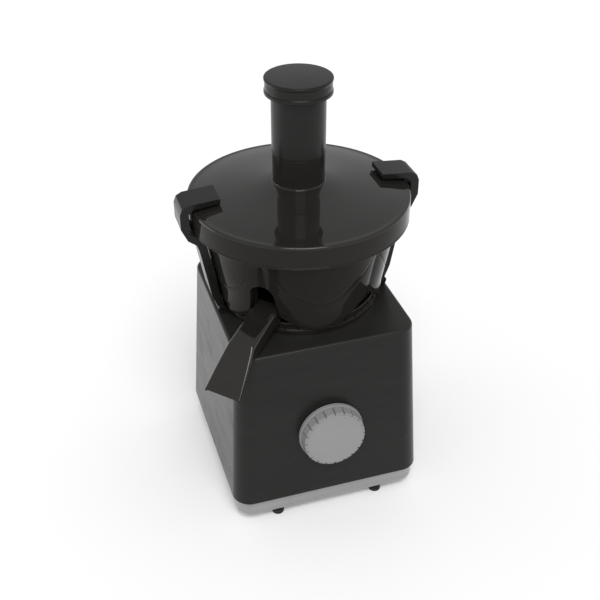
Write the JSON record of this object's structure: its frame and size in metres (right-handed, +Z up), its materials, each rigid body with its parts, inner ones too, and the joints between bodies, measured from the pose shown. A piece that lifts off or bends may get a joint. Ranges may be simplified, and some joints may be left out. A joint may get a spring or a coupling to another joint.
{
  "type": "centrifugal juicer",
  "caption": "Countertop centrifugal juicer: square motor base with speed knob, bowl with spout and spinning filter basket, round lid with feed tube and pusher, lock arms at the sides.",
  "frame": {"origin": "centre of the flat underside of the base pan; the rubber feet reach 6 mm lower", "axes": "+Z up along the bowl and feed tube, -Y to the front with the speed knob, +X to the right; the spout leaves towards -X and -Y"},
  "size_m": [0.2412, 0.2362, 0.4345],
  "materials": {
    "black_plastic": "satin moulded black plastic",
    "smoky_plastic": "glossy smoke-black plastic",
    "silver_plastic": "silver-grey painted plastic",
    "knob_plastic": "light grey moulded plastic",
    "rubber": "soft black rubber",
    "steel": "plain steel",
    "laminations": "dark sheet steel",
    "copper": "copper",
    "white_plastic": "off-white switch plastic",
    "board_green": "coated circuit board"
  },
  "bodies": {
    "base": {"arm_bracket_left": "black_plastic", "arm_bracket_right": "black_plastic", "arm_pin_left": "steel", "arm_pin_right": "steel", "base_pan": "silver_plastic", "bowl": "smoky_plastic", "brush_holder_left": "copper", "brush_holder_right": "copper", "chassis": "laminations", "collar_screw_1": "steel", "collar_screw_2": "steel", "collar_screw_3": "steel", "control_board": "board_green", "cord_gland": "rubber", "deck_collar": "smoky_plastic", "feed_tube": "black_plastic", "foot_1": "rubber", "foot_2": "rubber", "foot_3": "rubber", "foot_4": "rubber", "housing": "black_plastic", "interlock_switch_left": "white_plastic", "interlock_switch_right": "white_plastic", "juice_spout": "smoky_plastic", "lid": "smoky_plastic", "lid_seal": "rubber", "lower_bearing": "steel", "motor_lower_bracket": "steel", "motor_screw_1": "steel", "motor_screw_2": "steel", "motor_screw_3": "steel", "motor_screw_4": "steel", "motor_stator": "laminations", "motor_upper_bracket": "steel", "pan_screw_1": "steel", "pan_screw_2": "steel", "pan_screw_3": "steel", "pan_screw_4": "steel", "rotary_switch": "white_plastic", "shaft_seal": "rubber", "upper_bearing": "steel"},
    "rotor": {"motor_shaft": "steel", "rotor_core": "laminations", "commutator": "copper", "cooling_fan": "black_plastic", "drive_coupling": "black_plastic", "filter_basket": "steel", "grater_disc": "steel", "basket_nut": "black_plastic"},
    "pusher": {"pusher_cap": "black_plastic", "pusher_plunger": "black_plastic"},
    "knob": {"speed_knob": "knob_plastic", "switch_spindle": "steel"},
    "arm_left": {"lock_arm_left": "black_plastic", "arm_pad_left": "rubber"},
    "arm_right": {"lock_arm_right": "black_plastic", "arm_pad_right": "rubber"}
  },
  "joints": [
    {"name": "rotor_spin", "type": "hinge", "parent": "base", "child": "rotor", "pos_m": [0, 0.0042, 0.1], "axis": [0, 0, 1], "continuous": true},
    {"name": "pusher_lift", "type": "slide", "parent": "base", "child": "pusher", "axis": [0, 0, 1], "range_m": [0, 0.15]},
    {"name": "knob_turn", "type": "hinge", "parent": "base", "child": "knob", "pos_m": [0, -0.10069, 0.097], "axis": [0, -0.9984, 0.0574], "range_deg": [-120, 45]},
    {"name": "arm_left_swing", "type": "hinge", "parent": "base", "child": "arm_left", "pos_m": [-0.08455, 0.0042, 0.2055], "axis": [0, -1, 0], "range_deg": [0, 55]},
    {"name": "arm_right_swing", "type": "hinge", "parent": "base", "child": "arm_right", "pos_m": [0.08455, 0.0042, 0.2055], "axis": [0, 1, 0], "range_deg": [0, 55]}
  ]
}
